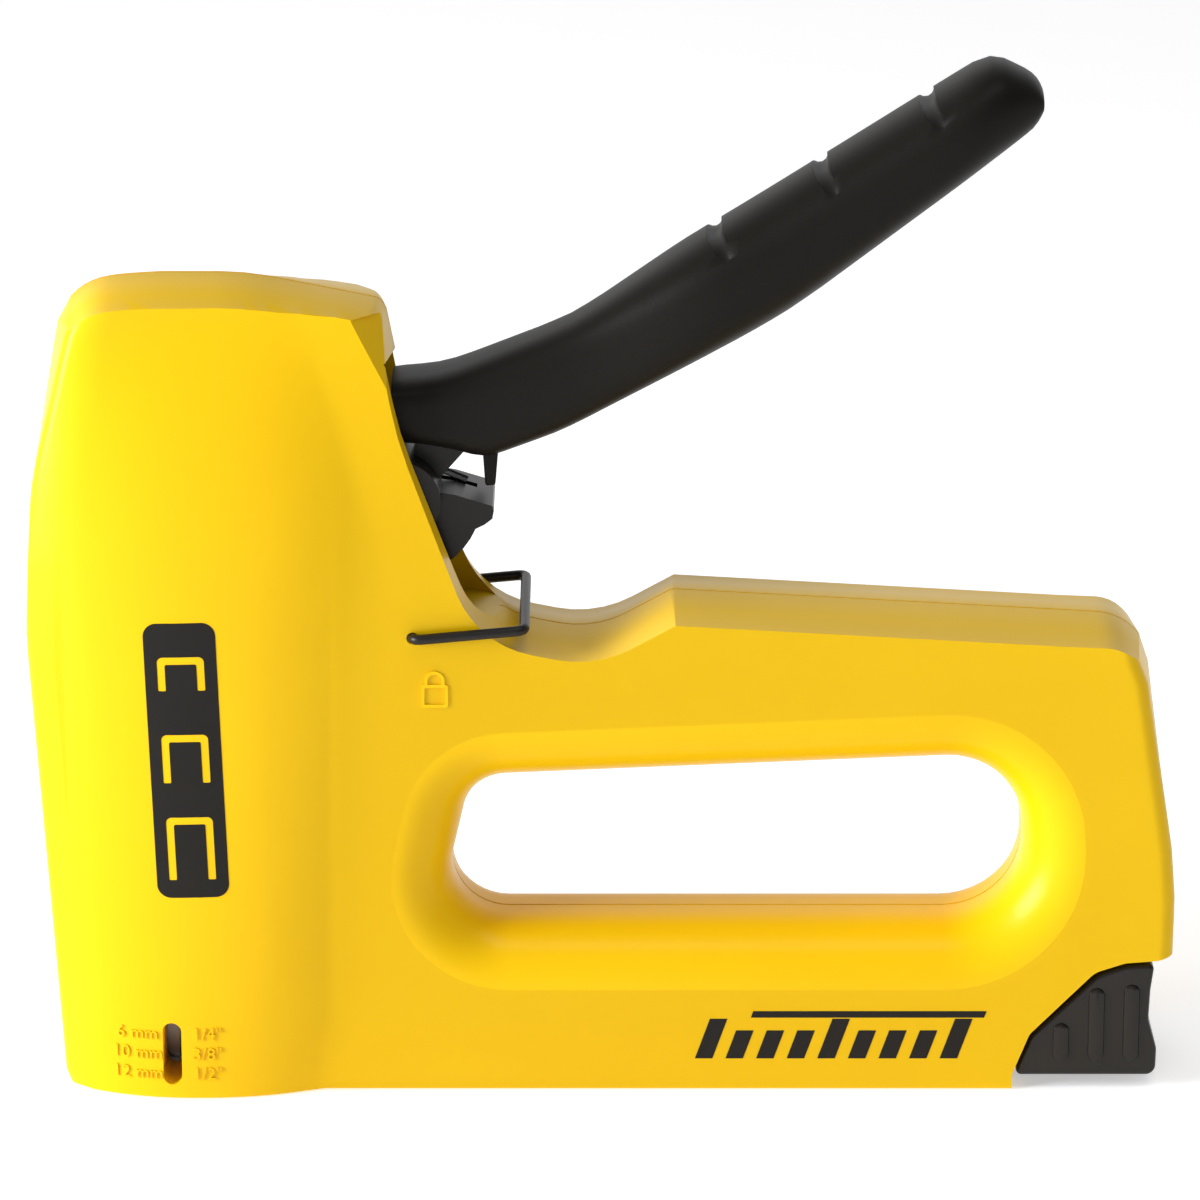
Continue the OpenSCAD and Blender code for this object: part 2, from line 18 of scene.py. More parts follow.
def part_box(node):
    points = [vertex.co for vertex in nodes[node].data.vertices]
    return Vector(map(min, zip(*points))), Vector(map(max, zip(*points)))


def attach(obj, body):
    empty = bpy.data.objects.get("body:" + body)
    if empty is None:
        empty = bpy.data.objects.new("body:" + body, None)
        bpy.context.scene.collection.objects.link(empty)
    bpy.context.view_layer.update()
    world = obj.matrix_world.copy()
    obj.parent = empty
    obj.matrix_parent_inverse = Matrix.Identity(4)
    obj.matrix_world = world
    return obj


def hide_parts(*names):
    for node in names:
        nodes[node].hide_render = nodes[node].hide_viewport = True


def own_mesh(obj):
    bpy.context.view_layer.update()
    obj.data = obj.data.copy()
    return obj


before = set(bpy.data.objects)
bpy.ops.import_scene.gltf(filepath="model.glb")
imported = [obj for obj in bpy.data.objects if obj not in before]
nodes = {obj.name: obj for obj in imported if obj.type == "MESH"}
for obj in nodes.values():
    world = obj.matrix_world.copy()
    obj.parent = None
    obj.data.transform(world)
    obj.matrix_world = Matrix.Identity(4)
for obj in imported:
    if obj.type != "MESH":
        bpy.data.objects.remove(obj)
bpy.context.view_layer.update()
MM = 0.001

# %% [markdown]
# Distances below are in millimetres, as on a drawing, and MM turns them into metres at the last
# moment. The lever's pivot, the height and width of the head, the ends of the grip and the width of
# the bail are read from the CAD parts. The other places repeat the CAD drawing's numbers. The new
# outer surface of the body stays INSET within the CAD model.


# %% Places taken from the CAD model
def box_mm(node):
    low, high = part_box(node)
    return low / MM, high / MM


def middle_mm(node):
    low, high = box_mm(node)
    return (low + high) / 2


FRONT = -91.0
RAIL_HALF = 13.5
INSET = 0.05
body_low, body_high = box_mm("left_housing")
HEAD_HEIGHT = body_high.z
HEAD_HALF = -body_low.y
pivot = middle_mm("lever_pivot_pin")
print("lever pivot", tuple(round(v, 2) for v in pivot))
print("body from", round(body_low.x, 2), "to", round(body_high.x, 2))

# %% [markdown]
# Most new pieces start from a primitive and are shaped by selecting and moving their vertices. An
# operator acts on all that is selected, so the first helper clears the selection. A loft begins as a
# filled circle whose vertices are placed on the first outline, and is then extruded once for each
# further outline, which is how a shape with changing sections is drawn by hand.


# %% Helpers for modelling
SELECT_ALL = (bpy.ops.mesh.select_all, {"action": "SELECT"})
FACE_OUTWARD = (bpy.ops.mesh.normals_make_consistent, {})
TURN_OVER = (bpy.ops.mesh.flip_normals, {})
MERGE_DOUBLES = (bpy.ops.mesh.remove_doubles, {"threshold": 1e-6})
BEVEL_SEGMENTS = 3


def select_only(piece):
    bpy.ops.object.select_all(action="DESELECT")
    bpy.context.view_layer.objects.active = piece
    piece.select_set(True)


def edit(piece, *operators):
    select_only(piece)
    bpy.ops.object.mode_set(mode="EDIT")
    for operator, options in operators:
        operator(**options)
    bpy.ops.object.mode_set(mode="OBJECT")


def loft(name, outlines):
    bpy.ops.object.select_all(action="DESELECT")
    bpy.ops.mesh.primitive_circle_add(vertices=len(outlines[0]), fill_type="NGON")
    piece = bpy.context.object
    piece.name = name
    order = {tuple(v.co): v.index for v in piece.data.vertices}
    for count, outline in enumerate(outlines):
        if count:
            edit(piece, (bpy.ops.mesh.extrude_region_move, {}))
        top = [v for v in piece.data.vertices if v.select]
        ranks = [order[tuple(v.co)] for v in top]
        for vertex, rank in zip(top, ranks):
            vertex.co = Vector(outline[rank]) * MM
        order = {tuple(v.co): rank for v, rank in zip(top, ranks)}
    edit(piece, SELECT_ALL, FACE_OUTWARD)
    return piece


def copy_of(piece, name):
    other = piece.copy()
    other.data = piece.data.copy()
    other.name = name
    bpy.context.scene.collection.objects.link(other)
    return other


def apply_modifier(piece, kind, **settings):
    select_only(piece)
    modifier = piece.modifiers.new(kind.title(), kind)
    for key, value in settings.items():
        setattr(modifier, key, value)
    bpy.ops.object.modifier_apply(modifier=modifier.name)


def combine(piece, other, operation, solver="EXACT"):
    apply_modifier(piece, "BOOLEAN", object=other, operation=operation, solver=solver)
    bpy.data.objects.remove(other)


def round_edges(piece, width, angle=25):
    apply_modifier(piece, "BEVEL", width=width * MM, segments=BEVEL_SEGMENTS, limit_method="ANGLE",
                   angle_limit=math.radians(angle), use_clamp_overlap=True)


def smooth(piece, angle=32):
    select_only(piece)
    bpy.ops.object.shade_smooth_by_angle(angle=math.radians(angle))


# %% [markdown]
# Cutting a curved surface leaves long thin faces with uneven normals, and a glossy paint would show
# them as streaks. So each clean solid is kept as a guide before it is used. Later every corner of the
# cut piece looks for a guide's face at the same place that faces the same way, and takes its smooth
# normal. A corner with no such face keeps its own.

# %% Shading taken from clean guides
GUIDE_REACH = 0.03
SAME_WAY = 0.85
guides = []


def keep_guide(piece, cutter=False):
    guide = copy_of(piece, "guide")
    if cutter:
        edit(guide, SELECT_ALL, TURN_OVER)
    smooth(guide)
    guides.append(guide)


def guided_normal(point, facing, sources):
    best, found = SAME_WAY, None
    for tree, mesh, corner_normals in sources:
        for place, normal, index, _ in tree.find_nearest_range(point, GUIDE_REACH * MM):
            if facing.dot(normal) > best:
                best = facing.dot(normal)
                near = mesh.polygons[index]
                weights = poly_3d_calc([mesh.vertices[v].co for v in near.vertices], place)
                found = Vector()
                for corner, weight in zip(near.loop_indices, weights):
                    found += corner_normals[corner] * weight
    return found


def guide_shading(piece):
    sources = []
    for guide in guides:
        mesh = guide.data
        faces = [face.vertices for face in mesh.polygons]
        tree = BVHTree.FromPolygons([v.co for v in mesh.vertices], faces)
        sources.append((tree, mesh, [n.vector.copy() for n in mesh.corner_normals]))
    mesh = piece.data
    normals = [n.vector.copy() for n in mesh.corner_normals]
    guided = 0
    for face in mesh.polygons:
        for corner in face.loop_indices:
            point = mesh.vertices[mesh.loops[corner].vertex_index].co
            normal = guided_normal(point, face.normal, sources)
            if normal is not None:
                normals[corner] = normal.normalized()
                guided += 1
    mesh.normals_split_custom_set(normals)
    print(piece.name, guided, "of", len(normals), "corners follow the guides")


# %% [markdown]
# A finished piece has one material, rides on one body of the mechanism and hides the CAD parts that it stands
# for.


# %% Finishing a piece
def finish_piece(piece, material, body, slot, *replaced):
    piece.data.materials.clear()
    piece.data.materials.append(material)
    for face in piece.data.polygons:
        face.material_index = 0
    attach(piece, body)
    if replaced:
        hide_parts(*replaced)
    print(piece.name, len(piece.data.polygons), "faces")


# %% [markdown]
# The outlines are drawn as a draughtsman gives them: the corners of the shape, each with the radius
# that rounds it. This function turns such a list into points, ARC_STEP degrees apart on the arcs. A
# second one grows or shrinks a closed outline, or an open line, along its own normals.

# %% Outlines from rounded corners
ARC_STEP = 9


def rounded(corners, fixed_steps=0):
    points = []
    for i, (x, y, radius) in enumerate(corners):
        here = Vector((x, y))
        before = Vector(corners[i - 1][:2]) - here
        after = Vector(corners[(i + 1) % len(corners)][:2]) - here
        if radius == 0:
            points.append(here)
            continue
        half = before.angle(after) / 2
        centre = here + (before.normalized() + after.normalized()).normalized() * radius / math.sin(half)
        first = here + before.normalized() * radius / math.tan(half) - centre
        last = here + after.normalized() * radius / math.tan(half) - centre
        start = math.atan2(first.y, first.x)
        turn = (math.atan2(last.y, last.x) - start + math.pi) % (2 * math.pi) - math.pi
        steps = fixed_steps or math.ceil(abs(math.degrees(turn)) / ARC_STEP)
        for k in range(steps + 1):
            angle = start + turn * k / steps
            points.append(centre + radius * Vector((math.cos(angle), math.sin(angle))))
    return points


def grown(points, amounts, closed=True):
    """Closed outlines may turn either way; an open line has the body on its right."""
    area = sum(a.x * b.y - b.x * a.y for a, b in zip(points, points[1:] + points[:1]))
    side = 1 if closed and area > 0 else -1
    last = len(points) - 1
    result = []
    for i, point in enumerate(points):
        before = points[i - 1] if closed or i else point
        after = points[(i + 1) % len(points)] if closed or i < last else point
        along = (after - before).normalized()
        result.append(point + side * amounts[i] * Vector((along.y, -along.x)))
    return result


def in_side_view(points, y):
    return [(p.x, y, p.y) for p in points]


# %% [markdown]
# ## Finishes
#
# No finish is one flat colour. Paint on a casting has a faint orange peel and drifts a little in
# tone, a moulding has a fine spark-eroded grain, and drawn or rolled steel has long scratches. One
# node group makes the relief and the drift, and each material gives it its own scales.


# %% Node group shared by the finishes
def new_group(name, inputs, outputs):
    group = bpy.data.node_groups.new(name, "ShaderNodeTree")
    for title, default in inputs:
        socket = group.interface.new_socket(title, in_out="INPUT", socket_type="NodeSocketFloat")
        socket.default_value = default
    for title in outputs:
        group.interface.new_socket(title, in_out="OUTPUT", socket_type="NodeSocketFloat")
    return group, group.nodes.new("NodeGroupInput"), group.nodes.new("NodeGroupOutput")


def noise_node(tree, vector, scale, detail):
    node = tree.nodes.new("ShaderNodeTexNoise")
    node.inputs["Detail"].default_value = detail
    tree.links.new(vector, node.inputs["Vector"])
    tree.links.new(scale, node.inputs["Scale"])
    return node.outputs["Fac"]


def fine_surface():
    """Height of the fine relief, and a slow drift for colour and gloss. Scales are in lumps per metre."""
    inputs = [("Relief Scale", 800), ("Drift Scale", 30), ("Stretch", 1)]
    tree, given, result = new_group("fine_surface", inputs, ["Height", "Drift"])
    place = tree.nodes.new("ShaderNodeTexCoord")
    stretched = tree.nodes.new("ShaderNodeMapping")
    shape = tree.nodes.new("ShaderNodeCombineXYZ")
    tree.links.new(given.outputs["Stretch"], shape.inputs[0])
    shape.inputs[1].default_value = shape.inputs[2].default_value = 1
    tree.links.new(place.outputs["Object"], stretched.inputs["Vector"])
    tree.links.new(shape.outputs[0], stretched.inputs["Scale"])
    relief = noise_node(tree, stretched.outputs[0], given.outputs["Relief Scale"], detail=2)
    drift = noise_node(tree, place.outputs["Object"], given.outputs["Drift Scale"], detail=4)
    tree.links.new(relief, result.inputs["Height"])
    tree.links.new(drift, result.inputs["Drift"])
    return tree


FINE_SURFACE = fine_surface()


# %% [markdown]
# Every finish is the same recipe with other values: two close tones mixed by the drift, a roughness
# that varies a little with it, and a bump from the relief.


# %% One recipe for a finish
def finish(name, colour, drift_colour, roughness, spread, relief, relief_height, drift=30, stretch=1,
           metallic=0, specular=0.5, glow=0):
    material = bpy.data.materials.new(name)
    material.use_nodes = True
    tree = material.node_tree
    shader = tree.nodes["Principled BSDF"]
    shader.inputs["Metallic"].default_value = metallic
    shader.inputs["Specular IOR Level"].default_value = specular
    shader.inputs["Emission Color"].default_value = (*colour, 1)
    shader.inputs["Emission Strength"].default_value = glow
    surface = tree.nodes.new("ShaderNodeGroup")
    surface.node_tree = FINE_SURFACE
    surface.inputs["Relief Scale"].default_value = relief
    surface.inputs["Drift Scale"].default_value = drift
    surface.inputs["Stretch"].default_value = stretch
    tone = tree.nodes.new("ShaderNodeMix")
    tone.data_type = "RGBA"
    tone.inputs["A"].default_value = (*colour, 1)
    tone.inputs["B"].default_value = (*drift_colour, 1)
    tree.links.new(surface.outputs["Drift"], tone.inputs["Factor"])
    tree.links.new(tone.outputs["Result"], shader.inputs["Base Color"])
    gloss = tree.nodes.new("ShaderNodeMapRange")
    gloss.inputs["To Min"].default_value = roughness - spread
    gloss.inputs["To Max"].default_value = roughness + spread
    tree.links.new(surface.outputs["Drift"], gloss.inputs["Value"])
    tree.links.new(gloss.outputs[0], shader.inputs["Roughness"])
    bump = tree.nodes.new("ShaderNodeBump")
    bump.inputs["Distance"].default_value = relief_height * MM
    tree.links.new(surface.outputs["Height"], bump.inputs["Height"])
    tree.links.new(bump.outputs[0], shader.inputs["Normal"])
    return material


# %% [markdown]
# Painted, printed, moulded and bare surfaces follow, grouped by what they are made of.

# %% Paint, ink and floor
enamel = finish("yellow_enamel", colour=(0.86, 0.535, 0.0035), drift_colour=(0.80, 0.485, 0.003),
                roughness=0.30, spread=0.05, relief=900, relief_height=0.012, specular=0.14)
ink = finish("printing_ink", colour=(0.011, 0.010, 0.009), drift_colour=(0.018, 0.016, 0.014),
             roughness=0.42, spread=0.08, relief=2500, relief_height=0.004, specular=0.12)
floor_paint = finish("floor_paint", colour=(0.9, 0.9, 0.9), drift_colour=(0.88, 0.88, 0.88), roughness=0.8,
                     spread=0.05, relief=300, relief_height=0.01, drift=2, glow=0.5)

# %% Mouldings and rubber
black_moulding = finish("black_moulding", colour=(0.008, 0.007, 0.0055), drift_colour=(0.011, 0.0095, 0.008),
                        roughness=0.44, spread=0.05, relief=2600, relief_height=0.03, specular=0.1)
knob_black = finish("knob_black", colour=(0.010, 0.008, 0.006), drift_colour=(0.016, 0.013, 0.010),
                    roughness=0.13, spread=0.04, relief=1200, relief_height=0.008, specular=0.3)
rubber = finish("moulded_rubber", colour=(0.03, 0.03, 0.03), drift_colour=(0.045, 0.044, 0.042),
                roughness=0.7, spread=0.08, relief=1800, relief_height=0.03)

# %% Steels
SCRATCHED = {"relief_height": 0.006, "stretch": 0.05, "metallic": 1}
black_oxide = finish("black_oxide", colour=(0.010, 0.009, 0.008), drift_colour=(0.016, 0.014, 0.012),
                     roughness=0.34, spread=0.08, relief=1500, relief_height=0.01, specular=0.25)
steel = finish("rolled_steel", colour=(0.55, 0.55, 0.56), drift_colour=(0.42, 0.42, 0.43),
               roughness=0.32, spread=0.08, relief=2500, **SCRATCHED)
hardened = finish("hardened_steel", colour=(0.36, 0.36, 0.38), drift_colour=(0.28, 0.27, 0.27),
                  roughness=0.36, spread=0.08, relief=3000, **SCRATCHED)
spring_wire = finish("spring_wire", colour=(0.45, 0.45, 0.47), drift_colour=(0.34, 0.33, 0.33),
                     roughness=0.3, spread=0.06, relief=2500, **SCRATCHED)
print("finishes", len(bpy.data.materials))

# %% [markdown]
# ## The cast body
#
# On the real tool each half is an aluminium casting. Its sides are flat on the handle and swell out
# over the head, its top is crowned like a roof along the joint of the two halves, and the edge of
# the finger opening is rolled over so that it doesn't cut into the hand. Three simple solids give
# all of that: a loft of plan sections for the sides and nose, a loft of side outlines for the top,
# and a flared plug for the opening. Their common part is the outside of the tool. The inside, with
# its bosses, slot and magazine tunnel, comes from the CAD halves, which are cut with it.

# %% Side outline of the body
body_outline = rounded([
    (FRONT + 4.6, 0, 1),
    (FRONT - 0.86, 88, 120),
    (FRONT + 6.5, HEAD_HEIGHT - 1.7, 10),
    (FRONT + 19, HEAD_HEIGHT, 40),
    (-56, HEAD_HEIGHT, 40),
    (-34.2, HEAD_HEIGHT - 4.4, 3),
    (-30.6, 109, 60),
    (-18.5, 76.6, 14),
    (-1.5, 73.2, 16),
    (10.8, 80, 2),
    (85.6, 75.8, 9),
    (91.09, 36, 60),
    (90.6, 0, 1),
])
STEEP = 0.7
NOSE_TOP_Z = 100
REAR_X = 60
slopes = [(b - a).normalized().y for a, b in zip(body_outline, body_outline[1:])]
nose_end = next(i for i, s in enumerate(slopes) if s < STEEP and body_outline[i].y > NOSE_TOP_Z)
rear_start = next(i for i, s in enumerate(slopes) if s < -STEEP and body_outline[i].x > REAR_X)
nose_line = body_outline[:nose_end + 1]
top_line = body_outline[nose_end:rear_start + 1]
rear_line = body_outline[rear_start:]
print("outline points: nose", len(nose_line), "top", len(top_line), "rear", len(rear_line))

# %% [markdown]
# The plan section changes with height. The nose follows its own curve, the swelling of the head is
# fullest halfway up, and the line where it meets the flat side bows towards the handle. Near the top
# the side edges of the nose and the rear step inwards, which carries the slope of the crowned top
# round the corner.

# %% Plan sections of the body
FULLEST_Z = 65
FULLEST_HALF = HEAD_HALF - 0.1
FOOT_DROP = 1.0
SHOULDER_Z = HEAD_HEIGHT - 5
SHOULDER_HALF = 10.8
SHOULDER_DROP = HEAD_HALF - SHOULDER_HALF - 0.3
SWELL_END_X, SWELL_END_Z = -34.4, 76
BOW_ABOVE, BOW_BELOW = 0.0048, 0.0019
LEAN_START_Z = 74
NOSE_HALF = 10.6
NOSE_RADIUS, REAR_RADIUS = 2.8, 2.4
CROWN = 0.14
NOSE_STEPS_IN, NOSE_STEP_HEIGHTS = 1.3, (95, 126)
REAR_STEPS_IN, REAR_STEP_HEIGHTS = 0.55, (30, 66)


def along_line(line, height):
    ordered = sorted(line, key=lambda p: p.y)
    if height <= ordered[0].y:
        return ordered[0].x
    for low, high in zip(ordered, ordered[1:]):
        if height <= high.y:
            return low.x + (high.x - low.x) * (height - low.y) / max(high.y - low.y, 1e-6)
    return ordered[-1].x


def fading(z, start, end):
    share = min(max((z - start) / (end - start), 0), 1)
    return share * share * (3 - 2 * share)


def swelling(z):
    below = z < FULLEST_Z
    drop = FOOT_DROP if below else SHOULDER_DROP
    span = FULLEST_Z if below else SHOULDER_Z - FULLEST_Z
    return FULLEST_HALF - drop * ((z - FULLEST_Z) / span) ** 2


def swelling_end(z):
    bow = BOW_ABOVE if z > SWELL_END_Z else BOW_BELOW
    return SWELL_END_X - bow * (z - SWELL_END_Z) ** 2


def flat_half(z):
    lean = max(0, (z - LEAN_START_Z) / (SHOULDER_Z - LEAN_START_Z))
    return RAIL_HALF - INSET - (RAIL_HALF - SHOULDER_HALF) * lean ** 2


def stepped_in(line, share, half, heights):
    return grown(line, [-share * CROWN * half * fading(p.y, *heights) for p in line], closed=False)


nose_edge = stepped_in(nose_line, NOSE_STEPS_IN, NOSE_HALF, NOSE_STEP_HEIGHTS)
rear_edge = stepped_in(rear_line, REAR_STEPS_IN, RAIL_HALF, REAR_STEP_HEIGHTS)

# %% [markdown]
# One section runs from the nose along the swelling side to the rear, and is then mirrored. The loft
# passes through such sections, about every four millimetres of height.

# %% One section, and the loft through all of them
SWELL_SHARES = [0.1 + 0.065 * k for k in range(14)]
CORNER_STEPS = 6


def plan_section(z):
    nose, nose_side = (along_line(line, z) + INSET for line in (nose_line, nose_edge))
    rear, rear_side = (along_line(line, z) - INSET for line in (rear_line, rear_edge))
    flat, end = flat_half(z), swelling_end(z)
    swell = []
    for share in SWELL_SHARES:
        chord = NOSE_HALF + 1 + (flat - NOSE_HALF - 1) * share
        power = 2.0 if share < 0.5 else 2.5
        bulge = 1 - abs(2 * share - 1) ** power
        swell.append((nose_side + (end - nose_side) * share, -chord - max(swelling(z) - chord, 0) * bulge, 0))
    half = rounded([
        (nose, 0, 0),
        (nose_side, -NOSE_HALF, NOSE_RADIUS),
        *swell,
        (end + 0.6, -flat, 0),
        (rear_side, -flat, REAR_RADIUS),
        (rear, 0, 0),
    ], fixed_steps=CORNER_STEPS)
    return [(p.x, p.y, z) for p in half] + [(p.x, -p.y, z) for p in reversed(half[1:-1])]


HEIGHTS = [INSET, 2] + [4 * k for k in range(1, 33)] + [HEAD_HEIGHT + 1]
outside = loft("body_outside", [plan_section(z) for z in HEIGHTS])
keep_guide(outside)
print("side loft", len(outside.data.polygons), "faces")

# %% [markdown]
# The top is a roof that falls away on each side of the joint. Over the handle it slopes by CROWN,
# which is 8 degrees. On the head it is up to twice as steep, and at the rear corner about half.

# %% Crowned top
CROWN_HALF = 13.7
CROWN_MIDDLE = 7
CUT_HALF = 22
FAR = 110
UNDER = -5
LONGEST_STEP = 6


def divided(line, longest):
    points = [line[0]]
    for a, b in zip(line, line[1:]):
        count = math.ceil((b - a).length / longest)
        points += [a.lerp(b, k / count) for k in range(1, count + 1)]
    return points


ridge_line = divided(top_line, LONGEST_STEP)


def crown_share(x):
    on_head, on_nose, on_rear = fading(-x, 38, 56), fading(-x, 66, 82), fading(x, 76, 88)
    return 1 + on_head - 0.3 * on_nose - 0.45 * on_rear


def side_section(y, drop):
    line = grown(ridge_line, [-drop * crown_share(p.x) - INSET for p in ridge_line], closed=False)
    first, last = line[0], line[-1]
    front_end = [Vector((-FAR, UNDER)), Vector((-FAR, first.y - (FAR + first.x)))]
    rear_end = [Vector((FAR, last.y - (FAR - last.x))), Vector((FAR, UNDER))]
    return in_side_view(front_end + line + rear_end, y)


stations = (-CUT_HALF, -CROWN_HALF, -CROWN_MIDDLE, 0, CROWN_MIDDLE, CROWN_HALF, CUT_HALF)
top = loft("body_top", [side_section(y, CROWN * min(abs(y), CROWN_HALF)) for y in stations])
keep_guide(top)
combine(outside, top, "INTERSECT")

# %% [markdown]
# The rear top corners of the head are cut back by a small slanting facet on each side. Three points
# on the slant give its plane, and a block with one face on that plane is taken away from each corner.

# %% Corner facets of the head
WEDGE_REACH = 1.2
WEDGE_DEPTH = 30
for side in (-1, 1):
    upper = Vector((-39.3, side * 10.8, 126.8))
    across = Vector((-33.8, side * 3.0, 126.4))
    lower = Vector((-31.6, side * 12.6, 111.5))
    facing = (across - upper).cross(lower - upper).normalized()
    facing = facing if facing.x > 0 else -facing
    down = (lower - upper) * WEDGE_REACH
    near_side, far_side = upper * 2 - across, across * 2 - upper
    corners = [near_side, far_side, far_side + down, near_side + down]
    wedge = loft("corner_wedge", [corners, [c + facing * WEDGE_DEPTH for c in corners]])
    keep_guide(wedge, cutter=True)
    combine(outside, wedge, "DIFFERENCE")
print("outside", len(outside.data.polygons), "faces")

# %% [markdown]
# The rim of the finger opening is rolled over: from a narrow land in the middle, the hole widens on
# both sides along a quarter circle. The plug that cuts it is a loft of ever larger outlines.

# %% Flared finger opening
LAND_HALF = 3.3
ROLL = 10.2
ROLL_STEP = 9
opening = rounded([(-26.5, 26.5, 9), (-21, 50.4, 7), (66.2, 54.2, 12), (67.4, 26.5, 12.6)])


def opening_section(y, growth):
    return in_side_view(grown(opening, [growth + INSET] * len(opening)), y)


roll_angles = [math.radians(a) for a in range(0, 91, ROLL_STEP)]
rim = [(LAND_HALF + ROLL * math.sin(a), ROLL * (1 - math.cos(a))) for a in roll_angles]
rim.append((CUT_HALF, ROLL))
profile = [(-y, growth) for y, growth in reversed(rim)]
profile += rim
plug = loft("opening_plug", [opening_section(y, growth) for y, growth in profile])
keep_guide(plug, cutter=True)
combine(outside, plug, "DIFFERENCE")

# %% [markdown]
# The lever's slot at the back of the head and the pocket for the magazine's knob are cut a hair
# wider than in the CAD halves, so that their edges can be broken like every other edge of the cast.

# %% Slot, knob pocket and broken edges
SLOT_HALF = 9.6
SLOT_FRONT, SLOT_BACK = -36, -15.4
SLOT_HEIGHTS = (77.1, 119.5)
EDGE_RADIUS = 0.6
slot_plan = rounded([
    (SLOT_FRONT, -SLOT_HALF, 0), (SLOT_BACK, -SLOT_HALF, 9.59),
    (SLOT_BACK, SLOT_HALF, 9.59), (SLOT_FRONT, SLOT_HALF, 0),
])
slot = loft("slot_plug", [[(p.x, p.y, z) for p in slot_plan] for z in SLOT_HEIGHTS])
keep_guide(slot, cutter=True)
combine(outside, slot, "DIFFERENCE")
knob_pocket = rounded([
    (65.5, -4, 0), (65.5, 2.4, 4), (68.2, 9.3, 2), (78.4, 19.8, 4),
    (83.2, 21.4, 3), (88.4, 21.8, 0), (93, 23, 0), (93, -4, 0),
])
pocket_outline = grown(knob_pocket, [INSET] * len(knob_pocket))
pocket = loft("pocket_plug", [in_side_view(pocket_outline, y) for y in (-CUT_HALF, CUT_HALF)])
keep_guide(pocket, cutter=True)
combine(outside, pocket, "DIFFERENCE")
round_edges(outside, EDGE_RADIUS, angle=30)
smooth(outside)
print("outside", len(outside.data.polygons), "faces")

# %% [markdown]
# Where the two halves meet, a fine line runs round the tool. It is a shallow groove: a thin ring,
# open in the middle by the body's own outline less the groove's depth, is taken away.

# %% Groove along the joint of the two halves
GROOVE_HALF = 0.22
GROOVE_FLOOR = 0.4
deep = [-INSET - GROOVE_FLOOR] * len(body_outline)
around = [Vector(c) for c in ((-FAR, -20), (FAR, -20), (FAR, 160), (-FAR, 160))]
ring = loft("groove_ring", [in_side_view(around, y) for y in (-GROOVE_HALF, GROOVE_HALF)])
heart = loft("groove_heart", [in_side_view(grown(body_outline, deep), y) for y in (-1, 1)])
combine(ring, heart, "DIFFERENCE", solver="MANIFOLD")
combine(outside, ring, "DIFFERENCE", solver="MANIFOLD")
rim_groove = loft("rim_groove", [opening_section(y, GROOVE_FLOOR) for y in (-GROOVE_HALF, GROOVE_HALF)])
combine(outside, rim_groove, "DIFFERENCE", solver="MANIFOLD")
smooth(outside)
print("outside", len(outside.data.polygons), "faces with the groove")

# %% [markdown]
# The CAD parts themselves are never changed. A copy of each half is cut down to what lies within the
# outside, so it keeps its hollow, bosses and tunnel and gets the new surface.


# %% Cut the CAD halves with it
def cad_copy(node, name):
    piece = copy_of(nodes[node], name)
    piece.parent = None
    for key in list(piece.keys()):
        del piece[key]
    piece.hide_render = False
    edit(piece, SELECT_ALL, MERGE_DOUBLES)
    return piece


for side in ("left", "right"):
    shell = cad_copy(side + "_housing", side + "_cast_half")
    combine(shell, copy_of(outside, "outside_copy"), "INTERSECT", solver="MANIFOLD")
    smooth(shell)
    guide_shading(shell)
    finish_piece(shell, enamel, "body", "cast_yellow", side + "_housing")

# %% [markdown]
# ## Marks on the cast
#
# The sizes beside the staple window and the padlock under the bail are cast with the body and stand
# about 0.3 mm proud. The black label and the slanted bars are printed and have hardly any
# thickness. All of them are made in one way: a slab with the mark's outline is cut with a copy of
# the body's outside that has been pushed out by the mark's height, so that it follows the curve of
# the head exactly.


# %% Helper for marks
def raised(name, height, slabs):
    select_only(slabs[0])
    for piece in slabs:
        piece.select_set(True)
    if len(slabs) > 1:
        bpy.ops.object.join()
    mark = bpy.context.object
    mark.name = name
    skin = copy_of(outside, "skin")
    apply_modifier(skin, "DISPLACE", strength=height * MM, mid_level=0)
    combine(mark, skin, "INTERSECT", solver="MANIFOLD")
    smooth(mark)
    return mark


def slab(outline, depth):
    return loft("slab", [in_side_view(outline, -CUT_HALF), in_side_view(outline, -depth)])


def placed(outline, place, angle=0):
    turn = Matrix.Rotation(math.radians(angle), 2)
    return [turn @ p + Vector(place) for p in outline]


def box_outline(width, height, radius=0):
    w, h = width / 2, height / 2
    return rounded([(-w, -h, radius), (w, -h, radius), (w, h, radius), (-w, h, radius)])


# %% [markdown]
# The label is a black plate with round corners. The three staple signs, with short, middle and long
# legs, are cut out of it, so that the yellow shows through.

# %% Black label with staple signs
PRINT_THICKNESS = 0.05
LABEL_PLACE = (-65.6, 57.2)
LABEL_TILT = 2
LABEL_SIZE = (11.4, 45.5, 2.2)
SIGN_STEPS_AND_LEGS = ((14.5, 5.5), (0.5, 8), (-14.5, 10.5))
SIGN_HALF, SIGN_WIRE = 3.7, 1.2


def staple_sign(leg):
    h = leg / 2
    inner = SIGN_HALF - SIGN_WIRE
    return rounded([
        (-SIGN_HALF, -h, 0.2), (-inner, -h, 0.2), (-inner, h - SIGN_WIRE, 0.3), (inner, h - SIGN_WIRE, 0.3),
        (inner, -h, 0.2), (SIGN_HALF, -h, 0.2), (SIGN_HALF, h, 0.9), (-SIGN_HALF, h, 0.9),
    ])


def on_label(outline, depth):
    return slab(placed(outline, LABEL_PLACE, LABEL_TILT), depth)


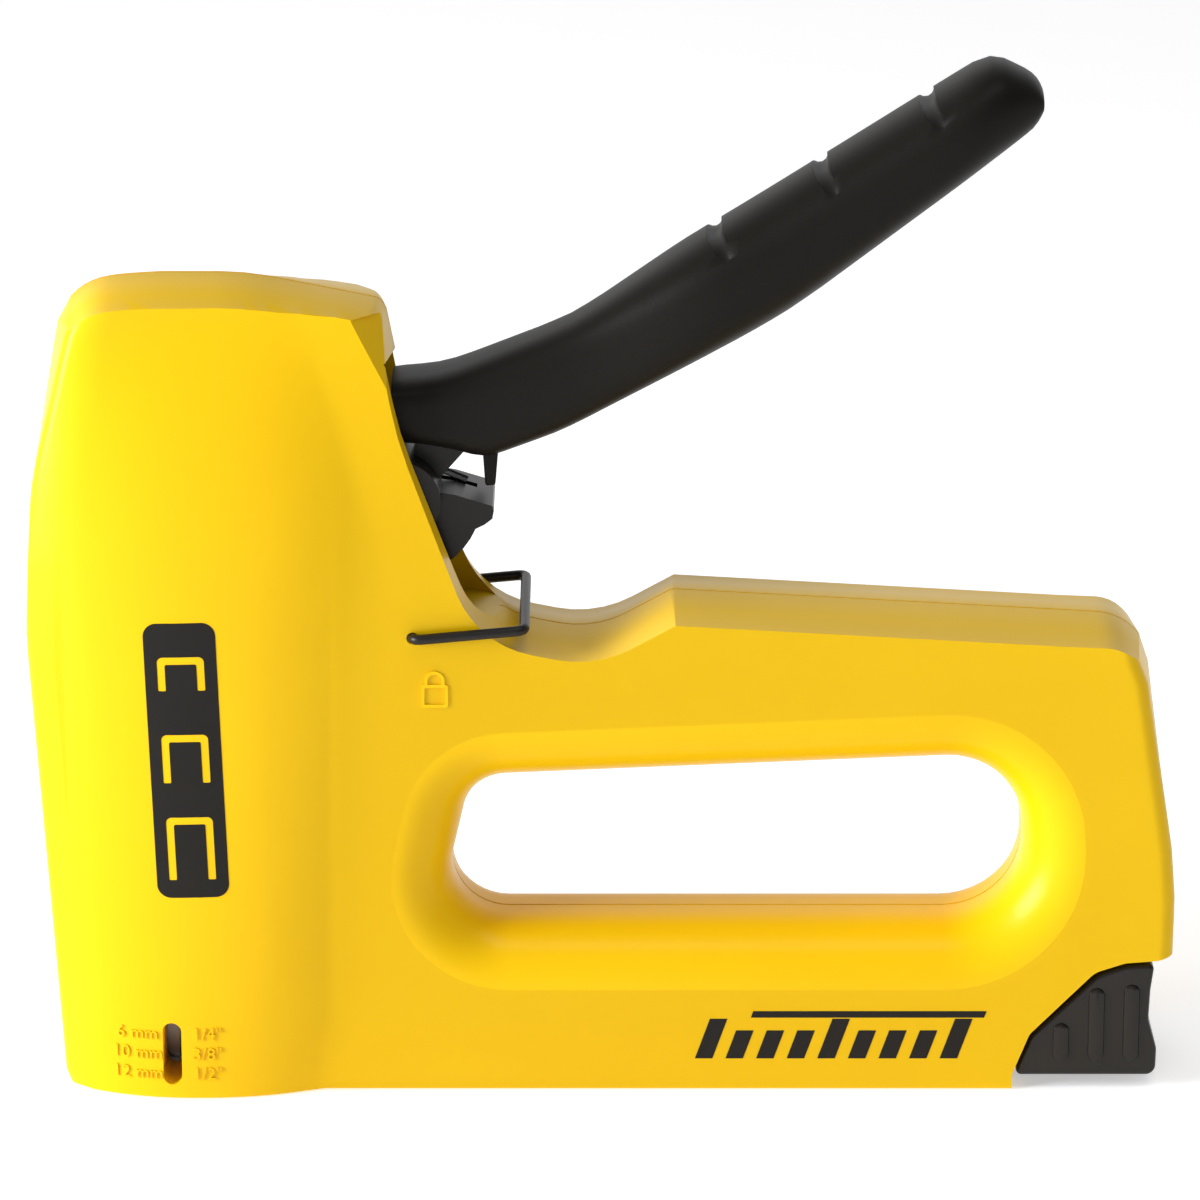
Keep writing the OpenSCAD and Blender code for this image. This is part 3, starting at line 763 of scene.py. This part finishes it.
label = raised("side_label", PRINT_THICKNESS, [on_label(box_outline(*LABEL_SIZE), 16.6)])
for step, leg in SIGN_STEPS_AND_LEGS:
    combine(label, on_label(placed(staple_sign(leg), (0, step)), 15), "DIFFERENCE", solver="MANIFOLD")
finish_piece(label, ink, "body", "cast_yellow")

# %% [markdown]
# The bars are printed along the beam, every fourth one taller, with a thin strip over them.

# %% Slanted bars on the beam
BARS = 9
BAR_STEP = 4.9
BAR_LEFT, BAR_RIGHT = -1.9, 0.9
BAR_FOOT, BAR_TOP, TALL_BAR_TOP = -2.9, 1.9, 3.9
BAR_SLANT = 0.35
BEAM_DEPTH = 12.4
slabs = []
for k in range(BARS):
    top_z = TALL_BAR_TOP if k % 4 == 0 else BAR_TOP
    lean = (top_z - BAR_FOOT) * BAR_SLANT
    foot = [Vector((BAR_LEFT, BAR_FOOT)), Vector((BAR_RIGHT, BAR_FOOT))]
    head = [Vector((BAR_RIGHT + lean, top_z)), Vector((BAR_LEFT + lean, top_z))]
    slabs.append(slab(placed(foot + head, (16.5 + BAR_STEP * k, 8.1)), BEAM_DEPTH))
strip = [Vector(c) for c in ((23.5, 12.2), (60.8, 12.2), (61.2, 13.3), (23.9, 13.3))]
slabs.append(slab(strip, BEAM_DEPTH))
beam_bars = raised("beam_bars", PRINT_THICKNESS, slabs)
finish_piece(beam_bars, ink, "body", "cast_yellow")

# %% [markdown]
# The staple sizes stand in two columns, the leg lengths in millimetres and in inches. The words are
# text objects, turned to face the side and made into meshes.


# %% Numbers beside the staple window
def number_slab(text, place, height, depth):
    bpy.ops.object.select_all(action="DESELECT")
    bpy.ops.object.text_add()
    words = bpy.context.object
    words.data.body = text
    words.data.size = height * MM
    words.data.align_x, words.data.align_y = "CENTER", "CENTER"
    words.data.extrude = (CUT_HALF - depth) / 2 * MM
    words.data.resolution_u = 3
    words.location = Vector((place[0], -(CUT_HALF + depth) / 2, place[1])) * MM
    words.rotation_euler = (math.radians(90), 0, 0)
    bpy.ops.object.convert(target="MESH")
    bpy.ops.object.transform_apply(location=True, rotation=True, scale=True)
    edit(words, SELECT_ALL, MERGE_DOUBLES)
    return words


WINDOW_X = -68.8
COLUMN_OFFSET = 5.6
NUMBER_HEIGHT, NUMBER_DEPTH, NUMBER_RISE = 2.9, 14.5, 0.28
SIZES = (("6 mm", '1/4"', 11.0), ("10 mm", '3/8"', 7.6), ("12 mm", '1/2"', 4.2))
texts = [(metric, WINDOW_X - COLUMN_OFFSET, z) for metric, inches, z in SIZES]
texts += [(inches, WINDOW_X + COLUMN_OFFSET, z) for metric, inches, z in SIZES]
numbers = [number_slab(text, (x, z), NUMBER_HEIGHT, NUMBER_DEPTH) for text, x, z in texts]
finish_piece(raised("size_numbers", NUMBER_RISE, numbers), enamel, "body", "cast_yellow")

# %% [markdown]
# The padlock marks the bail as the lever's lock. Its body is a small plate with a hollow middle, and its
# shackle is a half ring with two short legs.

# %% Padlock sign under the bail
PADLOCK_X, PADLOCK_Z, PADLOCK_RISE = -26.6, 67.8, 0.3
SHACKLE_OUTER, SHACKLE_INNER, SHACKLE_TOP, SHACKLE_FOOT = 1.6, 1.1, 1.2, 0.5
plate = rounded([(-2.1, -3.2, 0.4), (2.1, -3.2, 0.4), (2.1, 0.6, 0.4), (-2.1, 0.6, 0.4)])
padlock = slab(placed(plate, (PADLOCK_X, PADLOCK_Z)), 12.6)
hollow = slab(placed(box_outline(3.2, 2.8, 0.2), (PADLOCK_X, 66.5)), 12)
combine(padlock, hollow, "DIFFERENCE", solver="MANIFOLD")


def shackle_side(radius, angles):
    arc = [(math.cos(math.radians(a)), math.sin(math.radians(a))) for a in angles]
    return [Vector((radius * x, SHACKLE_TOP + radius * y)) for x, y in arc]


shackle = [Vector((SHACKLE_OUTER, SHACKLE_FOOT)), *shackle_side(SHACKLE_OUTER, range(0, 181, 15))]
shackle += [Vector((-SHACKLE_OUTER, SHACKLE_FOOT)), Vector((-SHACKLE_INNER, SHACKLE_FOOT))]
shackle += [*shackle_side(SHACKLE_INNER, range(180, -1, -15)), Vector((SHACKLE_INNER, SHACKLE_FOOT))]
combine(padlock, slab(placed(shackle, (PADLOCK_X, PADLOCK_Z)), 12.6), "UNION", solver="MANIFOLD")
finish_piece(raised("padlock_sign", PADLOCK_RISE, [padlock]), enamel, "body", "cast_yellow")
for helper in (outside, *guides):
    bpy.data.objects.remove(helper)

# %% [markdown]
# ## The lever
#
# The hand presses on a moulded grip whose section is a soft-cornered oval: narrow and square at the
# root, where it enters the head, and broad and round under the palm. Its sections are taken upright
# at even steps from the root to the tip, between the top and bottom lines of the CAD outline.

# %% Lever grip
GRIP_LOW, GRIP_HIGH = box_mm("lever_grip")
ROOT_HALF, PALM_EXTRA = 8.3, 3.0
TIP_LENGTH = 16
SECTION_POINTS = 48
GRIP_STEP = 2.6
grip_outline = rounded([(pivot.x + x, pivot.z + z, r) for x, z, r in (
    (-2, 18.4, 1.5), (7, 19.2, 20), (27, 27.2, 40), (44, 39, 60), (92, 69.5, 5), (101.5, 65, 5),
    (99, 58.6, 6), (60, 28.6, 80), (26, 10.2, 30), (13.5, 5.6, 4), (8, 7.2, 1), (4, 8, 2), (-1, 8.4, 1),
)])


def crossings(points, x):
    found = []
    for a, b in zip(points, points[1:] + points[:1]):
        if (a.x - x) * (b.x - x) < 0:
            found.append(a.y + (b.y - a.y) * (x - a.x) / (b.x - a.x))
    return min(found), max(found)


def grip_half(x):
    widening = fading(x, pivot.x + 27, pivot.x + 50)
    narrowing = max(0, (x - GRIP_HIGH.x + TIP_LENGTH) / TIP_LENGTH)
    return (ROOT_HALF + PALM_EXTRA * widening) * (1 - 0.6 * narrowing ** 2.4)


def grip_section(x):
    low, high = crossings(grip_outline, x)
    half, tall, middle = grip_half(x), (high - low) / 2 - 0.02, (high + low) / 2
    corner = 2 / (3.6 - 1.2 * fading(x, pivot.x + 8, pivot.x + 60))
    points = []
    for k in range(SECTION_POINTS):
        angle = 2 * math.pi * k / SECTION_POINTS
        c, n = math.cos(angle), math.sin(angle)
        y = half * math.copysign(abs(c) ** corner, c)
        points.append((x, y, middle + tall * math.copysign(abs(n) ** corner, n)))
    return points


grip_start, grip_end = GRIP_LOW.x + 0.15, GRIP_HIGH.x - 0.12
stations = [grip_start + 0.5] + [grip_start + GRIP_STEP * k for k in range(1, 37)]
stations += [grip_end - d for d in (6, 4.2, 2.8, 1.7, 0.9, 0.4, 0.1) if grip_end - d > stations[-1] + 0.3]
grip = loft("lever_moulding", [grip_section(x) for x in stations])

# %% [markdown]
# A small tab of the same moulding reaches down behind the root of the grip.

# %% Tab under the grip's root
tab_outline = [(pivot.x + x, pivot.z + z) for x, z in ((12.9, 9), (13.4, 1.6), (15, 1.7), (15.6, 9))]
tab = loft("tab", [[(x, y, z) for x, z in tab_outline] for y in (-5.8, 5.8)])
round_edges(tab, 0.4)
combine(grip, tab, "UNION", solver="MANIFOLD")

# %% [markdown]
# A wire is a curve with a round bevel, and each corner of its path is eased into a short curve. The
# same helper draws the bail and, as a cutter, the grooves across the grip.


# %% Wires drawn along a path
def bent(points, radius, steps=6):
    result = [points[0]]
    for before, here, after in zip(points, points[1:], points[2:]):
        a, b = (before - here).normalized(), (after - here).normalized()
        length = radius / math.tan(a.angle(b) / 2)
        for k in range(steps + 1):
            t = k / steps
            result.append(here + a * length * (1 - t) ** 2 + b * length * t ** 2)
    return result + [points[-1]]


def wire(name, points, radius):
    curve = bpy.data.curves.new(name, "CURVE")
    curve.dimensions = "3D"
    curve.bevel_depth = radius * MM
    curve.bevel_resolution = 4
    curve.use_fill_caps = True
    line = curve.splines.new("POLY")
    line.points.add(len(points) - 1)
    for target, p in zip(line.points, points):
        target.co = (*(p * MM), 1)
    piece = bpy.data.objects.new(name, curve)
    bpy.context.scene.collection.objects.link(piece)
    select_only(piece)
    bpy.ops.object.convert(target="MESH")
    edit(piece, SELECT_ALL, MERGE_DOUBLES, FACE_OUTWARD)
    smooth(piece, 50)
    return piece


# %% [markdown]
# Three shallow grooves run over the top of the grip. Each one's path is found on the surface itself:
# rays are sent inwards from a fan of angles, and the round cutter is set out from each hit, least of
# all at the top, so that the groove runs out towards the sides.

# %% Finger grooves over its top
GROOVE_RADIUS = 1.5
GROOVE_DEPTH = 1.15
FAN = 66
FAN_STEP = 6
lever_axis = Vector((48, 0, 29.5)).normalized()
upright = Vector((-lever_axis.z, 0, lever_axis.x))
for k in range(3):
    on_top = Vector((pivot.x + 48.6 + 16.4 * k, 0, pivot.z + 43 + 10.4 * k))
    heart = (on_top - upright * 9) * MM
    path = []
    for degrees in range(-FAN, FAN + 1, FAN_STEP):
        angle = math.radians(degrees)
        outward = upright * math.cos(angle) + Vector((0, math.sin(angle), 0))
        place = grip.ray_cast(heart + outward * 30 * MM, -outward)[1]
        rise = GROOVE_RADIUS - GROOVE_DEPTH * (1 - (degrees / FAN) ** 2)
        path.append(place / MM + outward * rise)
    combine(grip, wire("groove_cutter", path, GROOVE_RADIUS), "DIFFERENCE", solver="MANIFOLD")
smooth(grip, 40)
finish_piece(grip, black_moulding, "lever", "black_moulding", "lever_grip")

# %% [markdown]
# ## The knob of the magazine
#
# The knob fills the lower rear corner of the body. It is a glossy moulding with three ribs for the
# finger and thumb that press it, and its back is hollowed where the thumb pushes.

# %% Magazine knob
knob_outline = rounded([
    (65.8, 2, 0.8), (66.5, 3.8, 3), (68.6, 9, 2), (78.8, 19.2, 4), (83.4, 20.8, 3),
    (88, 21.1, 1), (87.4, 16.5, 4), (87.2, 11.5, 4), (88.6, 6.5, 3), (88.5, 2, 1.6),
])
KNOB_HALF = 12.9
RIB_WIDTH = 2.6
RIBS = ((73.2, 11), (78.8, 17), (84.4, 17.6))
RIB_STEPS = ((1, -1), (1, 0.1), (0.9, 0.35), (0.62, 0.52))
knob = loft("knob_moulding", [in_side_view(knob_outline, y) for y in (-KNOB_HALF, KNOB_HALF)])
round_edges(knob, 0.7)


def rib_section(x, top_z, share, y):
    height = top_z - 4.6 + RIB_WIDTH * (share - 1)
    return in_side_view(placed(box_outline(RIB_WIDTH * share, height, 1.29 * share), (x, top_z / 2 + 2.3)), y)


for side in (-1, 1):
    for x, top_z in RIBS:
        rib = loft("rib", [rib_section(x, top_z, share, side * (KNOB_HALF + y)) for share, y in RIB_STEPS])
        combine(knob, rib, "UNION", solver="MANIFOLD")
tongue_section = ((-7.2, 10), (7.2, 10), (7.2, 23.3), (-7.2, 23.3))
tongue = loft("tongue", [[(x, y, z) for y, z in tongue_section] for x in (66.9, 87.3)])
combine(knob, tongue, "UNION", solver="MANIFOLD")
smooth(knob)
finish_piece(knob, knob_black, "magazine", "knob_moulding", "magazine_knob")

# %% [markdown]
# ## The lock bail
#
# The bail is one length of wire with four bends. Its path goes from one pivot hole outwards, along
# the leg, across the tool and back to the other hole.

# %% Bail of bent wire
WIRE = 0.84
LEG_LENGTH, LEG_TILT = 17.6, math.radians(5.3)
_, bail_high = box_mm("lock_bail")
bail_place = Vector((-30, 0, 76))
leg_end = bail_place + Vector((LEG_LENGTH * math.cos(LEG_TILT), 0, LEG_LENGTH * math.sin(LEG_TILT)))
half = bail_high.y - WIRE
corners = [(bail_place, RAIL_HALF - 1.8), (bail_place, half), (leg_end, half)]
path = [Vector((p.x, -y, p.z)) for p, y in corners] + [Vector((p.x, y, p.z)) for p, y in reversed(corners)]
bail = wire("bail_wire", bent(path, 1.6), WIRE)
finish_piece(bail, black_oxide, "bail", "blackened_steel", "lock_bail")

# %% [markdown]
# ## The parts that stay as they are
#
# Pins, plates, rivets and the driver have their true shape in the CAD model already. They only get
# the finish of what each is made from.

# %% Finish of the CAD parts that stay
FINISHES = {
    "lever_pivot_pin": steel, "spring_stop_pin": steel, "dowel_pins": steel, "housing_screws": black_oxide,
    "nose_plate": hardened, "spring_cap": steel, "bumper": rubber, "magazine_channel": steel,
    "staple_core": steel, "core_rivets": steel, "channel_pins": steel, "spring_carrier": hardened,
    "driver_blade": hardened, "blade_rivets": steel, "lever_core": black_oxide,
    "lever_rivets": black_oxide, "return_spring": spring_wire, "pusher_rod": steel, "rod_pin": steel,
    "rod_clip": spring_wire, "detent_spring": spring_wire, "pusher": hardened,
}
for name, material in FINISHES.items():
    part = nodes[name]
    part.data.materials.clear()
    part.data.materials.append(material)
print("finished", len(FINISHES), "CAD parts")

# %% [markdown]
# ## The springs
#
# The main spring stands between the driver's carrier and its cap, and the feed spring between the pusher and
# the knob. Each is a copy of its CAD coil with the spring finish, riding on the body of its joint. The travel
# of each joint is given in metres, as the joint has it.

# %% Main spring and feed spring
springs = (
    ("main_spring", "main_coil", "body", "driver_lift", 0.0194),
    ("pusher_spring", "feed_coil", "magazine", "pusher_feed", 0.1),
)
for node, name, body, joint, travel in springs:
    coil = cad_copy(node, name)
    smooth(coil, 60)
    finish_piece(coil, spring_wire, body, "spring_steel", node)
    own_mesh(coil)

# %% [markdown]
# ## Camera, floor and light
#
# The camera stands a metre away and a little above, with a long lens, so that the tool is seen almost
# without perspective. A strong softbox on the left lights the nose and the near side, and two weak
# ones fill from the front and from above. The floor glows slightly and merges with the light wall.

# %% Camera
LENS = 189
centre = Vector((-0.6, 0, 78)) * MM
elevation = math.radians(17.8)
bpy.ops.object.camera_add(location=centre + Vector((0, -math.cos(elevation), math.sin(elevation))))
camera = bpy.context.object
camera.rotation_euler = (centre - camera.location).to_track_quat("-Z", "Y").to_euler()
camera.data.lens = LENS
scene = bpy.context.scene
scene.camera = camera
scene.view_settings.view_transform = "Standard"

# %% Softboxes
def softbox(name, place, size, power):
    bpy.ops.object.light_add(type="AREA", location=Vector(place))
    lamp = bpy.context.object
    lamp.name = name
    lamp.data.shape = "RECTANGLE"
    lamp.data.size, lamp.data.size_y = size
    lamp.data.energy = power
    lamp.rotation_euler = (centre - lamp.location).to_track_quat("-Z", "Y").to_euler()


softbox("left_softbox", (-1.25, -0.42, 0.3), (0.6, 0.8), 33)
softbox("front_softbox", (-0.25, -1.3, 0.4), (1.0, 0.8), 0.6)
softbox("upper_softbox", (0.25, -0.35, 1.2), (0.8, 0.25), 2.4)

# %% Floor
bpy.ops.mesh.primitive_plane_add(size=8, location=(0, 0, -0.2 * MM))
floor = bpy.context.object
floor.name = "floor"
floor.data.materials.append(floor_paint)

# %% [markdown]
# The light from all around is grey at the viewer's side and white behind the tool.

# %% Light from all around
world = bpy.data.worlds.new("studio")
scene.world = world
world.use_nodes = True
tree = world.node_tree
sky = tree.nodes["Background"]
place = tree.nodes.new("ShaderNodeTexCoord")
parts = tree.nodes.new("ShaderNodeSeparateXYZ")
ramp = tree.nodes.new("ShaderNodeValToRGB")
FRONT_GREY, BACK_WHITE = (0.26, 0.26, 0.27, 1), (1, 1, 1, 1)
dark, light = ramp.color_ramp.elements
dark.position, dark.color = 0.35, FRONT_GREY
light.position, light.color = 0.85, BACK_WHITE
tree.links.new(place.outputs["Generated"], parts.inputs[0])
tree.links.new(parts.outputs["Y"], ramp.inputs[0])
tree.links.new(ramp.outputs[0], sky.inputs["Color"])
sky.inputs["Strength"].default_value = 1.0

# %% [markdown]
# At the end the view layer is brought up to date.

# %% Bring the scene up to date
bpy.context.view_layer.update()
